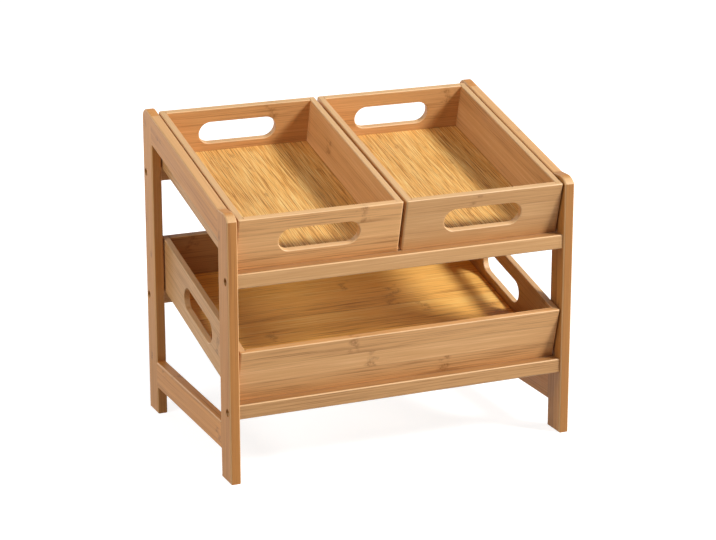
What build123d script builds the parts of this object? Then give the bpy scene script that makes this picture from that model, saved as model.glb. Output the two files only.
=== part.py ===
"""Two-tier bamboo condiment caddy.

Two ladder-like side frames are joined by four cross bars. Two trays with hand slots lift
out of the upper tier, and one wide tray draws out of the lower tier like a drawer. The
trays and the frames' top rails fall towards the front.

Millimetres, +Z up. The origin is on the floor under the middle of the stand, whose front
faces -Y and whose width runs along X.
"""
from build123d import *

import os
from math import cos, radians, sin, tan

# Stand
stand_width = 381.0  # over the outer faces of the side frames
stand_depth = 252.0  # over the front and rear faces of the legs
front_leg_height = 278.5
tray_slope = 14.5  # degrees, of the top rails and the trays
tier_spacing = 135.4  # between the seats of the two tiers

# Side frames
leg_thickness = 11.0  # along X, of the legs and the rails
leg_depth = 27.0  # along Y
frame_edge_radius = 1.8
front_leg_top_run = 14.0  # of the rounded top, back from the front face
front_leg_top_drop = 7.2  # of the rounded top, down to the front face
rear_leg_top_radius = 10.0
top_rail_height = 29.4  # square to the rail
lower_rail_height = 29.0
lower_rail_bottom = 30.0  # above the floor

# Mortise and tenon joints at the rails' ends
tenon_thickness = 4.5
tenon_height = 18.0
tenon_length = 12.0
tenon_play = 0.1

# Cross bars
bar_height = 15.0
bar_depth = 20.0
bar_setback = 2.2  # behind the front legs' faces, and in front of the rear legs' backs
bar_edge_chamfer = 1.0

# Screws through the legs into the bars' ends
screw_inset = 7.2  # from the front face of a front leg, or the back of a rear leg
screw_length = 32.0  # under the head
screw_shank_radius = 1.8
screw_head_radius = 3.6
screw_head_height = 2.4
counterbore_radius = 4.0
counterbore_depth = 6.2
clearance_hole_play = 0.2  # radial, in the leg
pilot_hole_play = 0.05  # radial, in the bar
pilot_hole_extra = 1.0  # beyond the screw's end

# Trays
tray_height = 56.0  # square to the slope
tray_side_gap = 1.4  # to the side frames
tray_middle_gap = 3.4  # between the two upper trays
tray_front_bearing = 6.6  # how far a front bar runs back under the trays
tray_rear_setback = 3.1  # of the rear bottom edge, from the backs of the rear legs
seat_gap = 0.15  # above the bars

# Tray walls and floors
wall_thickness = 7.0
corner_lip = 3.0  # of the front and rear walls, over the side walls' ends
wall_edge_chamfer = 0.7
corner_radius = 2.0
slot_length = 87.0
slot_height = 25.0
slot_edge_chamfer = 0.7
floor_thickness = 4.5
floor_rise = 2.5  # above the walls' bottom edges
groove_depth = 3.0
floor_play = 0.3  # at the bottom of each groove

# Planes and lines that the pieces share
front = -stand_depth / 2
back = stand_depth / 2
front_rail_face = front + leg_depth  # where the rails meet the front legs
back_rail_face = back - leg_depth  # where the rails meet the rear legs
inner_half_width = stand_width / 2 - leg_thickness
slope_rise = tan(radians(tray_slope))
top_rail_drop = top_rail_height / cos(radians(tray_slope))
toe = front + bar_setback + bar_depth - tray_front_bearing  # trays' front bottom edge
tray_length = (back - tray_rear_setback - toe) / cos(radians(tray_slope))
back_bar_front = back - bar_setback - bar_depth


def rail_top(y):
    """Height of the top rails' upper edge, and of the upper trays' rims, at depth y."""
    return front_leg_height + (y - front_rail_face) * slope_rise


def tray_underside(y, drop):
    """Height of the trays' underside at depth y, on the tier `drop` below the upper one."""
    return rail_top(y) - tray_height / cos(radians(tray_slope)) - drop


def front_bar_bottom(drop):
    return tray_underside(toe, drop) - seat_gap - bar_height


def back_bar_bottom(drop):
    return tray_underside(back_bar_front, drop) - seat_gap - bar_height


def write(piece, name):
    piece.part.label = name
    export_step(piece.part, f"parts/{name}.step")


# Side frames


def frame_plane(side):
    """The lower-X face of a side frame, drawn with Y to the right and Z up."""
    return Plane.YZ.offset(-stand_width / 2 if side < 0 else inner_half_width)


def cut_mortise(face, middle_height, side):
    """Cuts a mortise into a leg from the face that a rail meets."""
    middle_x = side * (stand_width / 2 - leg_thickness / 2)
    with BuildSketch(face) as mouth:
        with Locations((middle_x * face.x_dir.X, middle_height)):
            Rectangle(tenon_thickness + 2 * tenon_play, tenon_height + 2 * tenon_play)
    extrude(mouth.sketch, amount=-(tenon_length + tenon_play), mode=Mode.SUBTRACT)


def add_shoulder(side, face_y, inward, low, high):
    """Squares up a leg's rounded edges where a rail's flat faces butt against them."""
    with BuildSketch(frame_plane(side)) as block:
        with Locations((face_y + inward * frame_edge_radius / 2, (low + high) / 2)):
            Rectangle(frame_edge_radius, high - low - 2 * frame_edge_radius)
    extrude(block.sketch, amount=leg_thickness)


def cut_screw_holes(side, y, heights):
    """Cuts a counterbored hole for each screw from a leg's outer face."""
    for height in heights:
        outer_face = Plane(
            origin=(side * stand_width / 2, y, height), x_dir=(0, side, 0), z_dir=(side, 0, 0)
        )
        with Locations(outer_face.location):
            CounterBoreHole(
                screw_shank_radius + clearance_hole_play, counterbore_radius, counterbore_depth
            )


def make_front_leg(side, name):
    top = front_leg_height
    with BuildPart() as leg:
        with BuildSketch(frame_plane(side)):
            with BuildLine():
                rounding_start = (front + front_leg_top_run, top)
                rounding_end = (front, top - front_leg_top_drop)
                Polyline(
                    rounding_end,
                    (front, 0),
                    (front_rail_face, 0),
                    (front_rail_face, top),
                    rounding_start,
                )
                TangentArc(rounding_start, rounding_end, tangent=(-1, 0))
            make_face()
        extrude(amount=leg_thickness)
        fillet(leg.faces().filter_by(Axis.X).edges(), frame_edge_radius)
        add_shoulder(side, front_rail_face, -1, top - top_rail_drop, top)
        low = lower_rail_bottom
        add_shoulder(side, front_rail_face, -1, low, low + lower_rail_height)
        facing_rails = Plane(origin=(0, front_rail_face, 0), x_dir=(-1, 0, 0), z_dir=(0, 1, 0))
        cut_mortise(facing_rails, top - top_rail_drop / 2, side)
        cut_mortise(facing_rails, low + lower_rail_height / 2, side)
        screw_heights = [front_bar_bottom(drop) + bar_height / 2 for drop in (0, tier_spacing)]
        cut_screw_holes(side, front + screw_inset, screw_heights)
    write(leg, name)


def make_rear_leg(side, name):
    with BuildPart() as leg:
        with BuildSketch(frame_plane(side)) as outline:
            with BuildLine():
                Polyline(
                    (back_rail_face, 0),
                    (back, 0),
                    (back, rail_top(back)),
                    (back_rail_face, rail_top(back_rail_face)),
                    close=True,
                )
            make_face()
            top_back = outline.vertices().sort_by(Axis.Y)[-1]
            fillet(top_back, rear_leg_top_radius)
        extrude(amount=leg_thickness)
        fillet(leg.faces().filter_by(Axis.X).edges(), frame_edge_radius)
        top = rail_top(back_rail_face)
        add_shoulder(side, back_rail_face, 1, top - top_rail_drop, top)
        low = lower_rail_bottom
        add_shoulder(side, back_rail_face, 1, low, low + lower_rail_height)
        facing_rails = Plane(origin=(0, back_rail_face, 0), x_dir=(1, 0, 0), z_dir=(0, -1, 0))
        cut_mortise(facing_rails, top - top_rail_drop / 2, side)
        cut_mortise(facing_rails, low + lower_rail_height / 2, side)
        screw_heights = [back_bar_bottom(drop) + bar_height / 2 for drop in (0, tier_spacing)]
        cut_screw_holes(side, back - screw_inset, screw_heights)
    write(leg, name)


def make_rail(side, name, front_top, back_top, end_height):
    """A rail between the legs' facing sides, with a tenon on each end."""
    middle_x = side * (stand_width / 2 - leg_thickness / 2)
    with BuildPart() as rail:
        with BuildSketch(frame_plane(side)):
            with BuildLine():
                Polyline(
                    (front_rail_face, front_top - end_height),
                    (back_rail_face, back_top - end_height),
                    (back_rail_face, back_top),
                    (front_rail_face, front_top),
                    close=True,
                )
            make_face()
        extrude(amount=leg_thickness)
        long_edges = rail.faces().filter_by(Axis.X).edges().filter_by(Axis.Z, reverse=True)
        fillet(long_edges, frame_edge_radius)
        ends = ((front_rail_face, front_top, 1), (back_rail_face, back_top, -1))
        for face_y, end_top, forward in ends:
            with BuildSketch(Plane.XZ.offset(-face_y)):
                with Locations((middle_x, end_top - end_height / 2)):
                    Rectangle(tenon_thickness, tenon_height)
            extrude(amount=forward * tenon_length)
    write(rail, name)


# Cross bars and their screws


def bar_end_plane(side, y, height):
    """An end of a bar, with its normal pointing along the bar, away from the leg."""
    return Plane(
        origin=(side * inner_half_width, y, height), x_dir=(0, 1, 0), z_dir=(-side, 0, 0)
    )


def drill_bar(screw_y, screw_height):
    """Drills a pilot hole into both ends of the bar that is being made."""
    length_in_bar = screw_length - (leg_thickness - counterbore_depth)
    for side in (-1, 1):
        with BuildSketch(bar_end_plane(side, screw_y, screw_height)) as mouth:
            Circle(screw_shank_radius + pilot_hole_play)
        extrude(mouth.sketch, amount=length_in_bar + pilot_hole_extra, mode=Mode.SUBTRACT)


def make_front_bar(drop, name):
    """A square-topped bar. The trays stand on it with their front bottom edge."""
    low = front_bar_bottom(drop)
    with BuildPart() as bar:
        with BuildSketch(Plane.YZ.offset(-inner_half_width)) as section:
            with Locations((front + bar_setback + bar_depth / 2, low + bar_height / 2)):
                Rectangle(bar_depth, bar_height)
            chamfer(section.vertices(), bar_edge_chamfer)
        extrude(amount=2 * inner_half_width)
        drill_bar(front + screw_inset, low + bar_height / 2)
    write(bar, name)


def make_rear_bar(drop, name):
    """A bar whose top is planed to the trays' slope, so that they lie flat on it."""
    low = back_bar_bottom(drop)
    back_bar_back = back_bar_front + bar_depth
    with BuildPart() as bar:
        with BuildSketch(Plane.YZ.offset(-inner_half_width)) as section:
            with BuildLine():
                Polyline(
                    (back_bar_front, low),
                    (back_bar_back, low),
                    (back_bar_back, low + bar_height + bar_depth * slope_rise),
                    (back_bar_front, low + bar_height),
                    close=True,
                )
            make_face()
            chamfer(section.vertices(), bar_edge_chamfer)
        extrude(amount=2 * inner_half_width)
        drill_bar(back - screw_inset, low + bar_height / 2)
    write(bar, name)


def make_frame_screws(side, name):
    """The four screws of a side frame, each with its head at the bottom of its hole."""
    seats = []
    for drop in (0, tier_spacing):
        seats.append((front + screw_inset, front_bar_bottom(drop) + bar_height / 2))
        seats.append((back - screw_inset, back_bar_bottom(drop) + bar_height / 2))
    head_seat = side * (stand_width / 2 - counterbore_depth)
    with BuildPart() as screws:
        for y, height in seats:
            lengthwise = Plane(
                origin=(head_seat, y, height), x_dir=(-side, 0, 0), z_dir=(0, side, 0)
            )
            with BuildSketch(lengthwise):
                with BuildLine():
                    Polyline(
                        (-screw_head_height, 0),
                        (-screw_head_height, screw_head_radius),
                        (0, screw_head_radius),
                        (0, screw_shank_radius),
                        (screw_length, screw_shank_radius),
                        (screw_length, 0),
                        close=True,
                    )
                make_face()
            revolve(axis=Axis(lengthwise.origin, lengthwise.x_dir))
    write(screws, name)


# Trays


def tray_bottom(middle_x, drop):
    """The middle of a tray's underside: X across, Y up the slope, Z square to it."""
    up_slope = Vector(0, cos(radians(tray_slope)), sin(radians(tray_slope)))
    toe_point = Vector(middle_x, toe, tray_underside(toe, drop))
    return Plane(
        origin=toe_point + up_slope * (tray_length / 2),
        x_dir=(1, 0, 0),
        z_dir=(0, -sin(radians(tray_slope)), cos(radians(tray_slope))),
    )


def wall_face(bottom, outward, distance):
    """A wall's outer face: X along the wall, Y up the wall, Z out of the tray."""
    return Plane(
        origin=bottom.origin + outward * distance,
        x_dir=bottom.z_dir.cross(outward),
        z_dir=outward,
    )


def make_wall(face, length, is_end_wall, has_slot, name):
    """A tray wall with its outer face on `face` and a groove for the floor inside.

    An end wall has a rabbet at both ends, which the side walls' ends fit into.
    """
    up = Axis(face.origin, face.y_dir)
    outward = Axis(face.origin, face.z_dir)
    inner_face = face.offset(-wall_thickness)
    with BuildPart() as wall:
        with BuildSketch(face):
            with Locations((0, tray_height / 2)):
                Rectangle(length, tray_height)
        extrude(amount=-wall_thickness)
        if is_end_wall:
            fillet(wall.edges().filter_by(up).group_by(outward)[-1], corner_radius)
        rim = wall.faces().sort_by(up)[-1]
        chamfer(rim.edges().filter_by(outward, reverse=True), wall_edge_chamfer)
        if has_slot:
            with BuildSketch(face):
                with Locations((0, tray_height / 2)):
                    SlotOverall(slot_length, slot_height)
            extrude(amount=-wall_thickness, mode=Mode.SUBTRACT)
            mouths = wall.edges(Select.LAST).filter_by(outward, reverse=True)
            chamfer(mouths, slot_edge_chamfer)
        with BuildSketch(inner_face):
            with Locations((0, floor_rise + floor_thickness / 2)):
                Rectangle(length, floor_thickness)
        extrude(amount=groove_depth, mode=Mode.SUBTRACT)
        if is_end_wall:
            rabbet_middle = (length - wall_thickness) / 2
            with BuildSketch(inner_face):
                with Locations((-rabbet_middle, tray_height / 2), (rabbet_middle, tray_height / 2)):
                    Rectangle(wall_thickness, tray_height)
            extrude(amount=wall_thickness - corner_lip, mode=Mode.SUBTRACT)
    write(wall, name)


def make_floor(bottom, width, name):
    """A floor panel whose edges lie in the walls' grooves."""
    margin = 2 * (wall_thickness - groove_depth + floor_play)
    with BuildPart() as panel:
        with BuildSketch(bottom.offset(floor_rise)):
            Rectangle(width - margin, tray_length - margin)
        extrude(amount=floor_thickness)
    write(panel, name)


def make_tray(tray, middle_x, drop, width, slots_in_ends):
    bottom = tray_bottom(middle_x, drop)
    ends = {"front": -bottom.y_dir, "rear": bottom.y_dir}
    sides = {"left": -bottom.x_dir, "right": bottom.x_dir}
    for place, outward in ends.items():
        face = wall_face(bottom, outward, tray_length / 2)
        make_wall(face, width, True, slots_in_ends, f"{tray}_{place}_wall")
    for place, outward in sides.items():
        face = wall_face(bottom, outward, width / 2)
        side_length = tray_length - 2 * corner_lip
        make_wall(face, side_length, False, not slots_in_ends, f"{tray}_{place}_wall")
    make_floor(bottom, width, f"{tray}_floor")


os.makedirs("parts", exist_ok=True)

for side, hand in ((-1, "left"), (1, "right")):
    make_front_leg(side, f"{hand}_front_leg")
    make_rear_leg(side, f"{hand}_rear_leg")
    make_rail(
        side,
        f"{hand}_top_rail",
        rail_top(front_rail_face),
        rail_top(back_rail_face),
        top_rail_drop,
    )
    lower_rail_top = lower_rail_bottom + lower_rail_height
    make_rail(side, f"{hand}_lower_rail", lower_rail_top, lower_rail_top, lower_rail_height)
    make_frame_screws(side, f"{hand}_frame_screws")

for drop, tier in ((0, "upper"), (tier_spacing, "lower")):
    make_front_bar(drop, f"{tier}_front_bar")
    make_rear_bar(drop, f"{tier}_rear_bar")

drawer_width = 2 * (inner_half_width - tray_side_gap)
upper_tray_width = (drawer_width - tray_middle_gap) / 2
upper_tray_middle = (upper_tray_width + tray_middle_gap) / 2
make_tray("left_tray", -upper_tray_middle, 0, upper_tray_width, slots_in_ends=True)
make_tray("right_tray", upper_tray_middle, 0, upper_tray_width, slots_in_ends=True)
make_tray("drawer", 0, tier_spacing, drawer_width, slots_in_ends=False)
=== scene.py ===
"""Woods, screws, light and camera for a two-tier bamboo condiment caddy.

Metres, +Z up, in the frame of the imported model. The caddy's front faces -Y.
"""
from functools import partial
from math import cos, pi, radians, sin

import bmesh
import bpy
from bpy.props import FloatProperty, FloatVectorProperty, PointerProperty
from mathutils import Matrix, Vector


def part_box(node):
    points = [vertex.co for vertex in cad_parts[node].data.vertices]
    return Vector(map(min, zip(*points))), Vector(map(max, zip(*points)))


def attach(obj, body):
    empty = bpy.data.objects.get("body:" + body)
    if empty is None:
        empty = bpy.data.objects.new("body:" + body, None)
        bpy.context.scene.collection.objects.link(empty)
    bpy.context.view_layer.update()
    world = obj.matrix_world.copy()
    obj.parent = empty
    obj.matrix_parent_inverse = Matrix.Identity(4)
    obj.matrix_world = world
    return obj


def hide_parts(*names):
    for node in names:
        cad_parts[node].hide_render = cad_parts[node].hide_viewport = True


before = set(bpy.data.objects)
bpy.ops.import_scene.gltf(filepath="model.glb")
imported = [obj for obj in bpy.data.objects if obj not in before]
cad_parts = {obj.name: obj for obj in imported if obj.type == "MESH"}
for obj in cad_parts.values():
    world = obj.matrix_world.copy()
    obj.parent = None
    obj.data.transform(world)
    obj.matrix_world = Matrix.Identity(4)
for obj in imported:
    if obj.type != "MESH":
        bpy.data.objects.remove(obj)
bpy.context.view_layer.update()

bl_info = {
    "name": "Bamboo Caddy",
    "version": (1, 0, 0),
    "blender": (4, 5, 0),
    "location": "View3D > Sidebar > Caddy",
    "description": "Dresses a two-tier condiment caddy in laminated bamboo and lights it",
    "category": "Object",
}

MM_PER_METRE = 1000

# Boards set paler or darker than the others of their wood: partly each board's own tone, partly
# painted light and painted shade for how the lamps fall on it. The drawer's rear and right walls
# and the right front leg are darkened as painted shade.
BOARD_TONE_AND_PAINTED_LIGHT = {
    "upper_front_bar": 0.9,
    "lower_front_bar": 0.88,
    "left_tray_front_wall": 1.22,
    "left_tray_rear_wall": 1.04,
    "right_tray_right_wall": 0.93,
    "drawer_front_wall": 1.16,
    "drawer_rear_wall": 0.75,
    "drawer_right_wall": 0.8,
    "left_lower_rail": 1.12,
    "left_front_leg": 0.96,
    "right_front_leg": 0.8,
}

# Random draws that put these boards' knuckles about where the photograph shows them.
BOARD_SEEDS = {
    "upper_front_bar": 57,
    "lower_front_bar": 200,
    "left_tray_front_wall": 1921,
    "left_tray_rear_wall": 706,
    "left_tray_right_wall": 5189,
    "right_tray_front_wall": 11639,
    "right_tray_rear_wall": 514,
    "drawer_front_wall": 85435,
    "drawer_floor": 78792,
}


# Settings


def linear(code):
    """Linear red, green and blue of an sRGB hex code."""
    shares = [int(code[i : i + 2], 16) / 255 for i in (0, 2, 4)]
    return [s / 12.92 if s <= 0.04045 else ((s + 0.055) / 1.055) ** 2.4 for s in shares]


def colour(name, description, code):
    return FloatVectorProperty(
        name=name, description=description, default=linear(code), subtype="COLOR", min=0, max=1
    )


def length(name, description, millimetres):
    return FloatProperty(
        name=name,
        description=description,
        default=millimetres / MM_PER_METRE,
        min=0,
        unit="LENGTH",
    )


def angle(name, description, degrees):
    return FloatProperty(
        name=name, description=description, default=radians(degrees), subtype="ANGLE"
    )


def share(name, description, value):
    return FloatProperty(
        name=name, description=description, default=value, min=0, max=1, subtype="FACTOR"
    )


def power(name, description, watts):
    return FloatProperty(name=name, description=description, default=watts, min=0, unit="POWER")


class FrameWood(bpy.types.PropertyGroup):
    """Side-pressed bamboo of the legs and the rails."""

    pale: colour("Pale fibres", "Colour between the fibres", "E6A757")
    body: colour("Body", "Overall colour of the frame", "C9873F")
    dark: colour("Dark fibres", "Colour of the fibres and the knuckles", "884F1C")
    strip: length("Strip width", "Width of a laminated strip on its narrow side", 6.5)
    stack: length("Stack width", "Width of a laminated strip on its broad side", 22)
    fibre: length("Fibre width", "Width of a fibre bundle as drawn", 1.1)
    reach: length("Fibre length", "Length of a fibre bundle as drawn", 110)
    streaks: share("Streaks", "How strongly the fibres show", 0.22)
    glue: share("Glue lines", "How strongly the glue lines show", 0.25)
    variety: share("Variety", "How much the strips differ in tone", 0.25)


class WallWood(bpy.types.PropertyGroup):
    """Flat-pressed bamboo of the tray walls and the cross bars."""

    pale: colour("Pale fibres", "Colour between the fibres", "E7B882")
    body: colour("Body", "Overall colour of the walls", "D09C63")
    dark: colour("Dark fibres", "Colour of the fibres and the knuckles", "8B5927")
    strip: length("Strip width", "Width of a laminated strip on its broad side", 18.7)
    stack: length("Stack width", "Depth of a laminated strip", 14)
    fibre: length("Fibre width", "Width of a fibre bundle as drawn", 1.0)
    reach: length("Fibre length", "Length of a fibre bundle as drawn", 70)
    streaks: share("Streaks", "How strongly the fibres show", 0.25)
    glue: share("Glue lines", "How strongly the glue lines show", 0.2)
    variety: share("Variety", "How much the strips differ in tone", 0.3)


class UpperFloorWood(bpy.types.PropertyGroup):
    """Side-pressed bamboo of the upper trays' thin floors."""

    pale: colour("Pale fibres", "Colour between the fibres", "F5D48B")
    body: colour("Body", "Overall colour of the floors", "EBB05B")
    dark: colour("Dark fibres", "Colour of the fibres and the knuckles", "AD7330")
    strip: length("Strip width", "Width of a laminated strip on its narrow side", 5)
    stack: length("Stack width", "Thickness of the panel", 14)
    fibre: length("Fibre width", "Width of a fibre bundle as drawn", 0.85)
    reach: length("Fibre length", "Length of a fibre bundle as drawn", 42)
    streaks: share("Streaks", "How strongly the fibres show", 0.85)
    glue: share("Glue lines", "How strongly the glue lines show", 0.05)
    variety: share("Variety", "How much the strips differ in tone", 0.08)


class DrawerFloorWood(bpy.types.PropertyGroup):
    """Flat-pressed bamboo of the drawer's floor."""

    pale: colour("Pale fibres", "Colour between the fibres", "F6D17F")
    body: colour("Body", "Overall colour of the floor", "F0B85D")
    dark: colour("Dark fibres", "Colour of the fibres and the knuckles", "AE7432")
    strip: length("Strip width", "Width of a laminated strip on its broad side", 20)
    stack: length("Stack width", "Thickness of the panel", 14)
    fibre: length("Fibre width", "Width of a fibre bundle as drawn", 1.2)
    reach: length("Fibre length", "Length of a fibre bundle as drawn", 60)
    streaks: share("Streaks", "How strongly the fibres show", 0.45)
    glue: share("Glue lines", "How strongly the glue lines show", 0.12)
    variety: share("Variety", "How much the strips differ in tone", 0.35)


class CaddySettings(bpy.types.PropertyGroup):
    """Sizes and colours of the whole caddy and its studio."""

    frame_wood: PointerProperty(type=FrameWood)
    wall_wood: PointerProperty(type=WallWood)
    upper_floor_wood: PointerProperty(type=UpperFloorWood)
    drawer_floor_wood: PointerProperty(type=DrawerFloorWood)
    tray_slope: angle("Tray slope", "How far the trays fall towards the front", 14.5)
    # Pale colour painted on as highlight: eased corners, and narrow sides that face up.
    sanded: colour("Painted highlight", "Colour of upper edges and eased corners", "F3CE9A")
    groove: length("Floor groove", "How far a floor's edges lie inside the walls", 2.7)
    knuckle_spacing: length("Knuckle spacing", "Distance along a strip between knuckles", 260)
    knuckle_width: length("Knuckle width", "Width of a knuckle's mark along a strip", 16)
    head_height: length("Head height", "Height of a screw's head", 2.4)
    shank_radius: length("Shank radius", "Radius of a screw's shank", 1.8)
    recess_reach: length("Recess reach", "From a screw's axis to an end of its recess", 2.2)
    recess_width: length("Recess width", "Width of each slot of the recess", 1.2)
    recess_depth: length("Recess depth", "Depth of the recess", 1.5)
    # Nearly black: painted shade for the deep holes that the screws sit in.
    screw_colour: colour("Screws", "Colour of the screws", "3B3733")
    floor_size: length("Floor size", "Length of the studio floor's sides", 14000)
    floor_colour: colour("Floor colour", "Colour of the studio floor", "B4B4B4")
    floor_glow: share("Floor glow", "White that the camera sees under the caddy", 0.85)
    glow_start: length("Glow start", "Where the floor's glow begins to grow", 300)
    glow_end: length("Glow end", "Where the floor is all white", 900)
    key_power: power("Key light", "Power of the light from the front and right", 140)
    right_power: power("Right light", "Power of the low light from the right", 12)
    left_power: power("Left light", "Power of the soft light from the left", 20)
    rear_power: power("Rear light", "Power of the soft light on the caddy's back", 12)
    sky: share("Sky", "Strength of the white surroundings on the object", 0.03)
    camera_azimuth: angle("Camera azimuth", "Round the caddy, from its front", -23.56)
    camera_elevation: angle("Camera elevation", "Above the horizon", 16.7)
    camera_distance: length("Camera distance", "From the caddy's middle", 2436)
    lens: FloatProperty(
        name="Lens", description="Focal length of the camera", default=115.96, unit="CAMERA"
    )


# Materials


def add_node(tree, kind, inputs, out=0, **settings):
    """Adds a node and returns one of its outputs.

    `inputs` gives each of its sockets a value, or an output to link from. A Map Range takes
    its value in 0, from the range 1 to 2, to the range 3 to 4, which is 0 to 1 if not given.
    """
    node = tree.nodes.new("ShaderNode" + kind)
    for setting, value in settings.items():
        setattr(node, setting, value)
    for socket, value in inputs.items():
        if isinstance(value, bpy.types.NodeSocket):
            tree.links.new(value, node.inputs[socket])
        else:
            node.inputs[socket].default_value = value
    return node.outputs[out]


def new_material(name):
    """A material, and its node tree with only a Principled shader and an output."""
    material = bpy.data.materials.new(name)
    material.use_nodes = True
    return material, material.node_tree


def finish_shader(tree, linked, constant):
    """Links and sets the sockets of the material's Principled shader."""
    shader = tree.nodes["Principled BSDF"]
    for socket, value in constant.items():
        shader.inputs[socket].default_value = value
    for socket, output in linked.items():
        tree.links.new(output, shader.inputs[socket])


def strip_directions(run, slope):
    """Unit vectors along a run's grain, across its strips and through their stack."""
    along_x, along_y, along_z = (1, 0, 0), (0, 1, 0), (0, 0, 1)
    up_slope = (0, cos(slope), sin(slope))
    off_slope = (0, -sin(slope), cos(slope))
    return {
        "leg": (along_z, along_y, along_x),
        "lower_rail": (along_y, along_z, along_x),
        "top_rail": (up_slope, off_slope, along_x),
        "bar": (along_x, along_z, along_y),
        "end_wall": (along_x, off_slope, up_slope),
        "drawer_end": (along_x, off_slope, up_slope),
        "side_wall": (up_slope, off_slope, along_x),
        "upper_floor": (up_slope, along_x, off_slope),
        "drawer_floor": (along_x, up_slope, off_slope),
    }[run]


def board_place(add, node_name, directions):
    """Millimetres along the grain, across and through, from the board's own lowest corner."""
    corners = [vertex.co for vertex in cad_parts[node_name].data.vertices]
    place = add("TexCoord", {}, out="Object")
    reach = {}
    for i, direction in enumerate(directions):
        in_millimetres = MM_PER_METRE * Vector(direction)
        start = min(in_millimetres.dot(corner) for corner in corners)
        measured = {0: place, 1: in_millimetres}
        measure = add("VectorMath", measured, out="Value", operation="DOT_PRODUCT")
        reach[i] = add("Math", {0: measure, 1: start}, operation="SUBTRACT")
    return add("CombineXYZ", reach)


def grain(add, place, spot_length, spot_width, detail):
    """Noise drawn out along the grain, with spots of that many millimetres."""
    spots = (spot_length, spot_width, spot_width)
    shrunk = add("VectorMath", {0: place, 1: spots}, operation="DIVIDE")
    return add("TexNoise", {"Vector": shrunk, "Scale": 1.0, "Detail": detail})


def scratched_knuckles(add, place, chance, settings):
    """Short rough marks over a strip, one every knuckle spacing and not on every strip."""
    # The marks run across the strip on a crooked line, up to 12 mm out of place.
    crookedness = 12.0
    wobble = grain(add, place, 30, 6, 0.0)
    along = add("SeparateXYZ", {0: place})
    bent = add("Math", {0: wobble, 1: crookedness, 2: along}, operation="MULTIPLY_ADD")
    half_spacing = MM_PER_METRE * settings.knuckle_spacing / 2
    distance = add("Math", {0: bent, 1: half_spacing}, operation="PINGPONG")
    half_width = MM_PER_METRE * settings.knuckle_width / 2
    band = add("MapRange", {0: distance, 1: half_width, 2: half_width / 3})
    scratches = add("MapRange", {0: grain(add, place, 1.8, 2.6, 2.0), 1: 0.36, 2: 0.66, 3: 0.25})
    clusters = add("MapRange", {0: grain(add, place, 9, 6, 0.0), 1: 0.36, 2: 0.56, 4: 0.75})
    unmarked_strips = 0.35
    mark = add("Math", {0: chance, 1: unmarked_strips}, operation="GREATER_THAN")
    for layer in (band, scratches, clusters):
        mark = add("Math", {0: mark, 1: layer}, operation="MULTIPLY")
    return mark


def glue_lines(add, counted):
    """Thin lines where one strip meets the next across the board."""
    across = add("SeparateXYZ", {0: counted}, out=1)
    to_joint = add("Math", {0: across, 1: 0.5}, operation="PINGPONG")
    share_of_strip = 0.05
    return add("MapRange", {0: to_joint, 1: share_of_strip, 2: 0.0})


def along_normal(add, direction):
    """How squarely the surface faces a direction: 1 for straight at it."""
    facing = {0: add("TexCoord", {}, out="Normal"), 1: direction}
    return add("VectorMath", facing, out="Value", operation="DOT_PRODUCT")


def painted_highlight_mask(add, directions, upper_share):
    """How pale a board is painted as highlight: its eased corners, and its narrow side where that
    faces up.
    """
    squareness = 0.0
    for direction in directions:
        part = add("Math", {0: along_normal(add, direction)}, operation="ABSOLUTE")
        squareness = add("Math", {0: part, 1: squareness}, operation="MAXIMUM")
    # A corner starts 14 degrees off square, and is at its palest from 32.
    corner_share = 0.45
    corners = add("MapRange", {0: squareness, 1: 0.97, 2: 0.85, 4: corner_share})
    # A side faces up from 41 degrees off upright, and altogether within 18.
    both = {0: along_normal(add, directions[1]), 1: along_normal(add, (0, 0, 1))}
    upwards = add("Math", both, operation="MINIMUM")
    upper = add("MapRange", {0: upwards, 1: 0.75, 2: 0.95, 4: upper_share})
    return add("Math", {0: corners, 1: upper}, operation="MAXIMUM")


def painted_ledge_shade(add):
    """The upper face of a bar, mixed halfway to the dark colour as painted shade under the tray
    walls.
    """
    share_of_dark = 0.5
    return add("MapRange", {0: along_normal(add, (0, 0, 1)), 1: 0.9, 2: 1.0, 4: share_of_dark})


def seams_and_corner_shade(add, node_name, place, directions, groove):
    """A thin dark line on a tray's floor where it goes into the grooves of the walls: the seam,
    with painted shade in the corner.
    """
    corners = [vertex.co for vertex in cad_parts[node_name].data.vertices]
    near = {}
    for i, direction in enumerate(directions[:2]):
        reaches = [MM_PER_METRE * Vector(direction).dot(corner) for corner in corners]
        half = (max(reaches) - min(reaches)) / 2
        position = add("SeparateXYZ", {0: place}, out=i)
        near[i] = add("Math", {0: position, 1: half}, operation="PINGPONG")
    to_edge = add("Math", near, operation="MINIMUM")
    # Darkest up to 0.4 mm from the wall, and gone at 1.6 mm.
    wall = MM_PER_METRE * groove
    share_of_dark = 0.8
    return add("MapRange", {0: to_edge, 1: wall + 0.4, 2: wall + 1.6, 3: share_of_dark, 4: 0})


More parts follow.
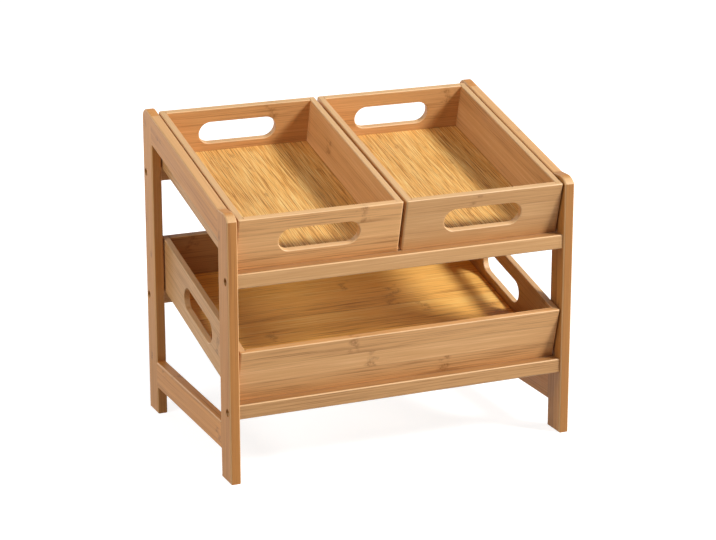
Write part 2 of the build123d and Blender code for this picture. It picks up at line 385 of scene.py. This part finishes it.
def laminated_bamboo(finish, node_name, run, wood, seed):
    """Bamboo strips glued up, made flat by sanding and sprayed with satin lacquer, as a solid
    pattern.

    To the eye: strips of slightly different tone with thin glue lines between them, long
    fibres a little darker than the wood, rough marks where a strip has a knuckle, and dots
    instead of fibres on end grain. Fibre bundles are 0.3 to 0.7 mm wide, too fine to show
    in the picture, and are drawn two to four times as wide.
    """
    settings = bpy.context.scene.caddy
    material, tree = new_material(f"{finish} {node_name}")
    add = partial(add_node, tree)
    directions = strip_directions(run, settings.tray_slope)
    place = board_place(add, node_name, directions)

    # One cell for each strip, with a tone and a stretch of culm of its own. A cell is longer
    # than any board, and the shift keeps a board's faces off the cells' borders.
    cell_length = 4000
    sizes = (cell_length, MM_PER_METRE * wood.strip, MM_PER_METRE * wood.stack)
    shift = (cell_length / 2, 0.01, 3)
    shifted = add("VectorMath", {0: place, 1: shift}, operation="ADD")
    counted = add("VectorMath", {0: shifted, 1: sizes}, operation="DIVIDE")
    cell = add("VectorMath", {0: counted}, operation="FLOOR")
    key = add("VectorMath", {0: cell, 1: (seed, 3 * seed, 7 * seed)}, operation="ADD")
    tint = add("TexWhiteNoise", {0: key})
    chances = tint.node.outputs["Color"]
    culm_length = 900
    spread = {0: chances, 1: (culm_length, culm_length, culm_length), 2: place}
    culm = add("VectorMath", spread, operation="MULTIPLY_ADD")

    # Fibres that sway a little, over broader and softer bands. Both stay near the noise's
    # middle, so their shares of the tone are multiplied up.
    sway = {0: grain(add, culm, 90, 40, 1.0), 1: (0, 1.5, 1.5), 2: culm}
    swayed = add("VectorMath", sway, operation="MULTIPLY_ADD")
    fibre_width, fibre_length = MM_PER_METRE * wood.fibre, MM_PER_METRE * wood.reach
    fibres = grain(add, swayed, fibre_length, fibre_width, 2.0)
    bands = grain(add, swayed, 160, 5, 1.0)
    tone = 0.5
    shares = ((fibres, 3.6 * wood.streaks), (bands, 1.2 * wood.variety), (tint, 0.8 * wood.variety))
    for noise, strength in shares:
        level = add("Math", {0: noise, 1: 0.5}, operation="SUBTRACT")
        tone = add("Math", {0: level, 1: strength, 2: tone}, operation="MULTIPLY_ADD")

    # Scales a listed board's colours: its own tone, mixed with painted light and painted shade.
    tone_and_painted_light = BOARD_TONE_AND_PAINTED_LIGHT.get(node_name, 1.0)
    shades = [tone_and_painted_light * Vector(shade) for shade in (wood.dark, wood.body, wood.pale)]
    dark, body, pale = [(*shade, 1) for shade in shades]
    low = add("MapRange", {0: tone, 1: 0.0, 2: 0.5}, interpolation_type="SMOOTHSTEP")
    high = add("MapRange", {0: tone, 1: 0.5, 2: 1.0}, interpolation_type="SMOOTHSTEP")
    wash = add("Mix", {0: low, 6: dark, 7: body}, out=2, data_type="RGBA")
    wash = add("Mix", {0: high, 6: wash, 7: pale}, out=2, data_type="RGBA")

    # Marks in the dark colour: single fibres, glue lines, knuckles, painted shade on the bars'
    # upper faces, and the floors' seams with painted shade beside the walls.
    threads = grain(add, swayed, 0.6 * fibre_length, 0.8 * fibre_width, 1.0)
    threads = add("MapRange", {0: threads, 1: 0.56, 2: 0.72, 4: 0.6 * wood.streaks})
    joints = add("Math", {0: glue_lines(add, counted), 1: wood.glue}, operation="MULTIPLY")
    chance = add("SeparateColor", {0: chances}, out=2)
    knuckles = scratched_knuckles(add, culm, chance, settings)
    marks = [threads, joints, knuckles]
    if run == "bar":
        marks.append(painted_ledge_shade(add))
    if run.endswith("floor"):
        marks.append(seams_and_corner_shade(add, node_name, place, directions, settings.groove))
    for mark in marks:
        wash = add("Mix", {0: mark, 6: wash, 7: dark}, out=2, data_type="RGBA")
    # Painted highlight: eased corners everywhere, and the upward narrow sides of tray walls and top
    # rails, mixed towards the pale colour.
    upper_share = 0.35 if run in ("end_wall", "side_wall", "top_rail") else 0.0
    sanded = painted_highlight_mask(add, directions, upper_share)
    paler = {0: sanded, 6: wash, 7: (*settings.sanded, 1)}
    wash = add("Mix", paler, out=2, data_type="RGBA")

    # The lacquer sinks a little into the fibres, which leaves them duller and lower.
    roughness = add("MapRange", {0: fibres, 1: 0.3, 2: 0.7, 3: 0.6, 4: 0.48})
    height = add("Math", {0: knuckles, 1: -0.6, 2: fibres}, operation="MULTIPLY_ADD")
    relief = add("Bump", {"Strength": 0.35, "Distance": 0.0002, "Height": height})
    finish_shader(
        tree,
        {"Base Color": wash, "Roughness": roughness, "Normal": relief},
        {"IOR": 1.5, "Coat Weight": 0.06, "Coat Roughness": 0.3},
    )
    return material


def dress(finish, run, wood, node_names, first_seed):
    """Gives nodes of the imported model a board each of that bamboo."""
    for i, node_name in enumerate(node_names):
        seed = BOARD_SEEDS.get(node_name, first_seed + i)
        material = laminated_bamboo(finish, node_name, run, wood, seed)
        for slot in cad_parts[node_name].material_slots:
            slot.material = material


def shade_dark_steel(colour_of_shade):
    """Steel screws, nearly black as painted shade for the deep holes they sit in: a half-dull
    shine, a little mottled.
    """
    material, tree = new_material("Black-oxide steel")
    add = partial(add_node, tree)
    place = add("TexCoord", {}, out="Object")
    # Blotches of 0.8 mm.
    mottle = add("TexNoise", {"Vector": place, "Scale": 1250.0, "Detail": 2.0})
    roughness = add("MapRange", {0: mottle, 1: 0.3, 2: 0.7, 3: 0.4, 4: 0.6})
    duller = [0.7 * part for part in colour_of_shade]
    shaded = {0: mottle, 6: (*duller, 1), 7: (*colour_of_shade, 1)}
    tint = add("Mix", shaded, out=2, data_type="RGBA")
    finish_shader(tree, {"Base Color": tint, "Roughness": roughness}, {"Metallic": 1.0})
    return material


def matt_paper(settings):
    """A seamless paper floor: white to the camera, mid grey to the light that it throws back.

    Its glow is seen by the camera and in gloss only, so it lights nothing and keeps shadows.
    It grows with distance from the caddy, where less of the lamps' light reaches the paper.
    """
    material, tree = new_material("Matt seamless paper")
    add = partial(add_node, tree)
    place = add("TexCoord", {}, out="Object")
    # Tooth of about 2 mm.
    tooth = add("TexNoise", {"Vector": place, "Scale": 500.0, "Detail": 2.0})
    paper = (*settings.floor_colour, 1)
    shade = [0.98 * part for part in settings.floor_colour]
    tint = add("Mix", {0: tooth, 6: paper, 7: (*shade, 1)}, out=2, data_type="RGBA")
    rays = add("LightPath", {}).node.outputs
    seen = add("Math", {0: rays["Is Camera Ray"], 1: rays["Is Glossy Ray"]}, operation="MAXIMUM")
    away = add("VectorMath", {0: place}, out="Value", operation="LENGTH")
    rise = {0: away, 1: settings.glow_start, 2: settings.glow_end, 3: settings.floor_glow, 4: 1.0}
    white = add("MapRange", rise, interpolation_type="SMOOTHSTEP")
    glow = add("Math", {0: seen, 1: white}, operation="MULTIPLY")
    finish_shader(
        tree,
        {"Base Color": tint, "Emission Strength": glow},
        {"Roughness": 1.0, "Specular IOR Level": 0.0, "Emission Color": (1, 1, 1, 1)},
    )
    return material


# Screws


def ring(mesh, radius, height, sides=28):
    """A ring of corners round the screw's axis."""
    turns = [2 * pi * i / sides for i in range(sides)]
    return [mesh.verts.new((radius * cos(t), radius * sin(t), height)) for t in turns]


def cross(mesh, reach, width, height):
    """The twelve corners of a cross round the screw's axis."""
    half = width / 2
    corners = []
    for turn in range(4):
        for corner in ((reach, -half), (reach, half), (half, half)):
            turned = Matrix.Rotation(turn * pi / 2, 2) @ Vector(corner)
            corners.append(mesh.verts.new((*turned, height)))
    return corners


def join_rings(mesh, first, second):
    """Skins the gap between two rings with the same number of corners."""
    for i, corner in enumerate(first):
        mesh.faces.new((corner, first[i - 1], second[i - 1], second[i]))


def screw_mesh(settings, head_radius, whole_length):
    """A domed screw with a cross recess. Its axis is Z, and its head's top is at the origin."""
    mesh = bmesh.new()
    dome_height = 0.25 * settings.head_height
    crown = ring(mesh, 0.82 * head_radius, 0)
    rim = ring(mesh, head_radius, -dome_height)
    seat = ring(mesh, head_radius, -settings.head_height)
    neck = ring(mesh, settings.shank_radius, -settings.head_height)
    end = ring(mesh, settings.shank_radius, -whole_length)
    for first, second in ((crown, rim), (rim, seat), (seat, neck), (neck, end)):
        join_rings(mesh, first, second)
    mesh.faces.new(end)
    mouth = cross(mesh, settings.recess_reach, settings.recess_width, 0)
    bottom_reach = 0.5 * settings.recess_reach
    bottom_width = 0.6 * settings.recess_width
    bottom = cross(mesh, bottom_reach, bottom_width, -settings.recess_depth)
    join_rings(mesh, mouth, bottom)
    mesh.faces.new(bottom)
    outlines = []
    for loop in (crown, mouth):
        outlines += [mesh.edges.get((loop[i - 1], loop[i])) for i in range(len(loop))]
    bmesh.ops.triangle_fill(mesh, use_beauty=True, edges=outlines)
    bmesh.ops.recalc_face_normals(mesh, faces=mesh.faces)
    return mesh


def place_screws(settings, hand, side, steel):
    """The four screws of a side frame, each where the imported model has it."""
    name = f"{hand}_frame_screws"
    corners = [vertex.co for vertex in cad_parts[name].data.vertices]
    together = bmesh.new()
    for bar in ("upper_front_bar", "upper_rear_bar", "lower_front_bar", "lower_rear_bar"):
        low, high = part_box(bar)
        near = [c for c in corners if low[1] < c.y < high[1] and low[2] < c.z < high[2]]
        if not near:
            raise RuntimeError(f"{name} has no screw at {bar}")
        heights = [c.z for c in near]
        depths = [c.y for c in near]
        reaches = [side * c.x for c in near]
        head_radius = (max(heights) - min(heights)) / 2
        screw = screw_mesh(settings, head_radius, max(reaches) - min(reaches))
        middle = ((max(depths) + min(depths)) / 2, (max(heights) + min(heights)) / 2)
        outward = Matrix.Rotation(side * pi / 2, 4, "Y")
        screw.transform(Matrix.Translation((side * max(reaches), *middle)) @ outward)
        one = bpy.data.meshes.new("screw")
        screw.to_mesh(one)
        screw.free()
        together.from_mesh(one)
        bpy.data.meshes.remove(one)
    data = bpy.data.meshes.new(f"{hand}_screws")
    together.to_mesh(data)
    together.free()
    data.materials.append(steel)
    piece = bpy.data.objects.new(f"{hand}_screws", data)
    bpy.context.scene.collection.objects.link(piece)
    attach(piece, "frame")
    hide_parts(name)


# Studio


def add_softbox(name, position, target, size, watts):
    """A square soft light that faces the target."""
    light = bpy.data.lights.new(name, "AREA")
    light.size = size
    light.energy = watts
    lamp = bpy.data.objects.new(name, light)
    lamp.location = position
    lamp.rotation_euler = (target - position).to_track_quat("-Z", "Y").to_euler()
    bpy.context.scene.collection.objects.link(lamp)


def add_surroundings(sky):
    """White surroundings to the camera and in gloss, and a faint sky on everything else."""
    world = bpy.data.worlds.new("Surroundings")
    world.use_nodes = True
    add = partial(add_node, world.node_tree)
    rays = add("LightPath", {}).node.outputs
    seen = add("Math", {0: rays["Is Camera Ray"], 1: rays["Is Glossy Ray"]}, operation="MAXIMUM")
    seen = add("Math", {0: seen, 1: rays["Is Transmission Ray"]}, operation="MAXIMUM")
    strength = add("MapRange", {0: seen, 3: sky, 4: 1.0})
    background = world.node_tree.nodes["Background"]
    background.inputs["Color"].default_value = (1, 1, 1, 1)
    world.node_tree.links.new(strength, background.inputs["Strength"])
    bpy.context.scene.world = world


def add_camera(settings, target):
    camera = bpy.data.objects.new("camera", bpy.data.cameras.new("camera"))
    camera.data.lens = settings.lens
    level = cos(settings.camera_elevation)
    away = Vector(
        (
            level * sin(settings.camera_azimuth),
            -level * cos(settings.camera_azimuth),
            sin(settings.camera_elevation),
        )
    )
    camera.location = target + settings.camera_distance * away
    camera.rotation_euler = (pi / 2 - settings.camera_elevation, 0, settings.camera_azimuth)
    bpy.context.scene.collection.objects.link(camera)
    bpy.context.scene.camera = camera


# Operators


class CADDY_OT_side_frames(bpy.types.Operator):
    """Dress the legs and the rails in side-pressed bamboo"""

    bl_idname = "caddy.side_frames"
    bl_label = "Side Frames"

    def execute(self, context):
        wood = context.scene.caddy.frame_wood
        finish = "Side-pressed bamboo"
        hands = ("left", "right")
        legs = [f"{hand}_{end}_leg" for hand in hands for end in ("front", "rear")]
        dress(finish, "leg", wood, legs, 1)
        dress(finish, "top_rail", wood, [f"{hand}_top_rail" for hand in hands], 11)
        dress(finish, "lower_rail", wood, [f"{hand}_lower_rail" for hand in hands], 21)
        return {"FINISHED"}


class CADDY_OT_cross_bars(bpy.types.Operator):
    """Dress the four cross bars in flat-pressed bamboo"""

    bl_idname = "caddy.cross_bars"
    bl_label = "Cross Bars"

    def execute(self, context):
        wood = context.scene.caddy.wall_wood
        bars = [f"{tier}_{end}_bar" for tier in ("upper", "lower") for end in ("front", "rear")]
        dress("Flat-pressed bamboo", "bar", wood, bars, 31)
        return {"FINISHED"}


class CADDY_OT_screws(bpy.types.Operator):
    """Put a black screw with a cross recess in each hole of the legs"""

    bl_idname = "caddy.screws"
    bl_label = "Screws"

    def execute(self, context):
        settings = context.scene.caddy
        steel = shade_dark_steel(settings.screw_colour)
        place_screws(settings, "left", -1, steel)
        place_screws(settings, "right", 1, steel)
        return {"FINISHED"}


def dress_walls(settings, tray, end_run, first_seed):
    """The four walls of a tray, each a board of flat-pressed bamboo."""
    finish = "Flat-pressed bamboo"
    ends = [f"{tray}_{place}_wall" for place in ("front", "rear")]
    sides = [f"{tray}_{place}_wall" for place in ("left", "right")]
    dress(finish, end_run, settings.wall_wood, ends, first_seed)
    dress(finish, "side_wall", settings.wall_wood, sides, first_seed + 4)


class CADDY_OT_upper_trays(bpy.types.Operator):
    """Dress the two upper trays: flat-pressed walls on side-pressed floors"""

    bl_idname = "caddy.upper_trays"
    bl_label = "Upper Trays"

    def execute(self, context):
        settings = context.scene.caddy
        dress_walls(settings, "left_tray", "end_wall", 41)
        dress_walls(settings, "right_tray", "end_wall", 51)
        floors = ("left_tray_floor", "right_tray_floor")
        wood = settings.upper_floor_wood
        dress("Side-pressed bamboo", "upper_floor", wood, floors, 61)
        return {"FINISHED"}


class CADDY_OT_drawer(bpy.types.Operator):
    """Dress the drawer in flat-pressed bamboo"""

    bl_idname = "caddy.drawer"
    bl_label = "Drawer"

    def execute(self, context):
        settings = context.scene.caddy
        dress_walls(settings, "drawer", "drawer_end", 71)
        wood = settings.drawer_floor_wood
        dress("Flat-pressed bamboo", "drawer_floor", wood, ["drawer_floor"], 81)
        return {"FINISHED"}


class CADDY_OT_studio(bpy.types.Operator):
    """Add the pale floor, the soft lights, the white surroundings and the camera"""

    bl_idname = "caddy.studio"
    bl_label = "Studio"

    def execute(self, context):
        settings = context.scene.caddy
        paper = bmesh.new()
        half = settings.floor_size / 2
        bmesh.ops.create_grid(paper, x_segments=8, y_segments=8, size=half)
        data = bpy.data.meshes.new("studio_floor")
        paper.to_mesh(data)
        paper.free()
        data.materials.append(matt_paper(settings))
        studio_floor = bpy.data.objects.new("studio_floor", data)
        context.scene.collection.objects.link(studio_floor)

        # The caddy's middle, at the middle of the picture.
        middle = Vector((0.002, -0.001, 0.167))
        # Name, direction from the middle, distance and size in metres, power.
        softboxes = (
            ("key_softbox", (0.62, -0.53, 0.61), 3.6, 0.8, settings.key_power),
            ("right_softbox", (0.9, -0.3, 0.3), 2.2, 0.5, settings.right_power),
            ("left_softbox", (-0.84, -0.15, 0.5), 2.2, 0.9, settings.left_power),
            ("rear_softbox", (-0.3, 0.93, 0.2), 2.2, 1.3, settings.rear_power),
        )
        for name, direction, distance, size, watts in softboxes:
            position = middle + distance * Vector(direction).normalized()
            add_softbox(name, position, middle, size, watts)
        add_surroundings(settings.sky)
        add_camera(settings, middle)
        context.scene.view_settings.view_transform = "Standard"
        return {"FINISHED"}


OPERATORS = (
    CADDY_OT_side_frames,
    CADDY_OT_cross_bars,
    CADDY_OT_screws,
    CADDY_OT_upper_trays,
    CADDY_OT_drawer,
    CADDY_OT_studio,
)


class CADDY_PT_looks(bpy.types.Panel):
    """The caddy's pieces and settings, in the sidebar"""

    bl_idname = "CADDY_PT_looks"
    bl_label = "Bamboo Caddy"
    bl_space_type = "VIEW_3D"
    bl_region_type = "UI"
    bl_category = "Caddy"

    def draw(self, context):
        for operator in OPERATORS:
            self.layout.operator(operator.bl_idname)
        settings = context.scene.caddy
        woods = [name for name in CaddySettings.__annotations__ if name.endswith("_wood")]
        for name in CaddySettings.__annotations__:
            if name not in woods:
                self.layout.prop(settings, name)
        for name in woods:
            wood = getattr(settings, name)
            box = self.layout.box()
            box.label(text=name.replace("_", " ").capitalize())
            for part in type(wood).__annotations__:
                box.prop(wood, part)


CLASSES = (
    FrameWood,
    WallWood,
    UpperFloorWood,
    DrawerFloorWood,
    CaddySettings,
    *OPERATORS,
    CADDY_PT_looks,
)


def register():
    for cls in CLASSES:
        bpy.utils.register_class(cls)
    bpy.types.Scene.caddy = PointerProperty(type=CaddySettings)


def unregister():
    del bpy.types.Scene.caddy
    for cls in reversed(CLASSES):
        bpy.utils.unregister_class(cls)


def main():
    register()
    bpy.ops.caddy.side_frames()
    bpy.ops.caddy.cross_bars()
    bpy.ops.caddy.screws()
    bpy.ops.caddy.upper_trays()
    bpy.ops.caddy.drawer()
    bpy.ops.caddy.studio()


if __name__ == "__main__":
    main()
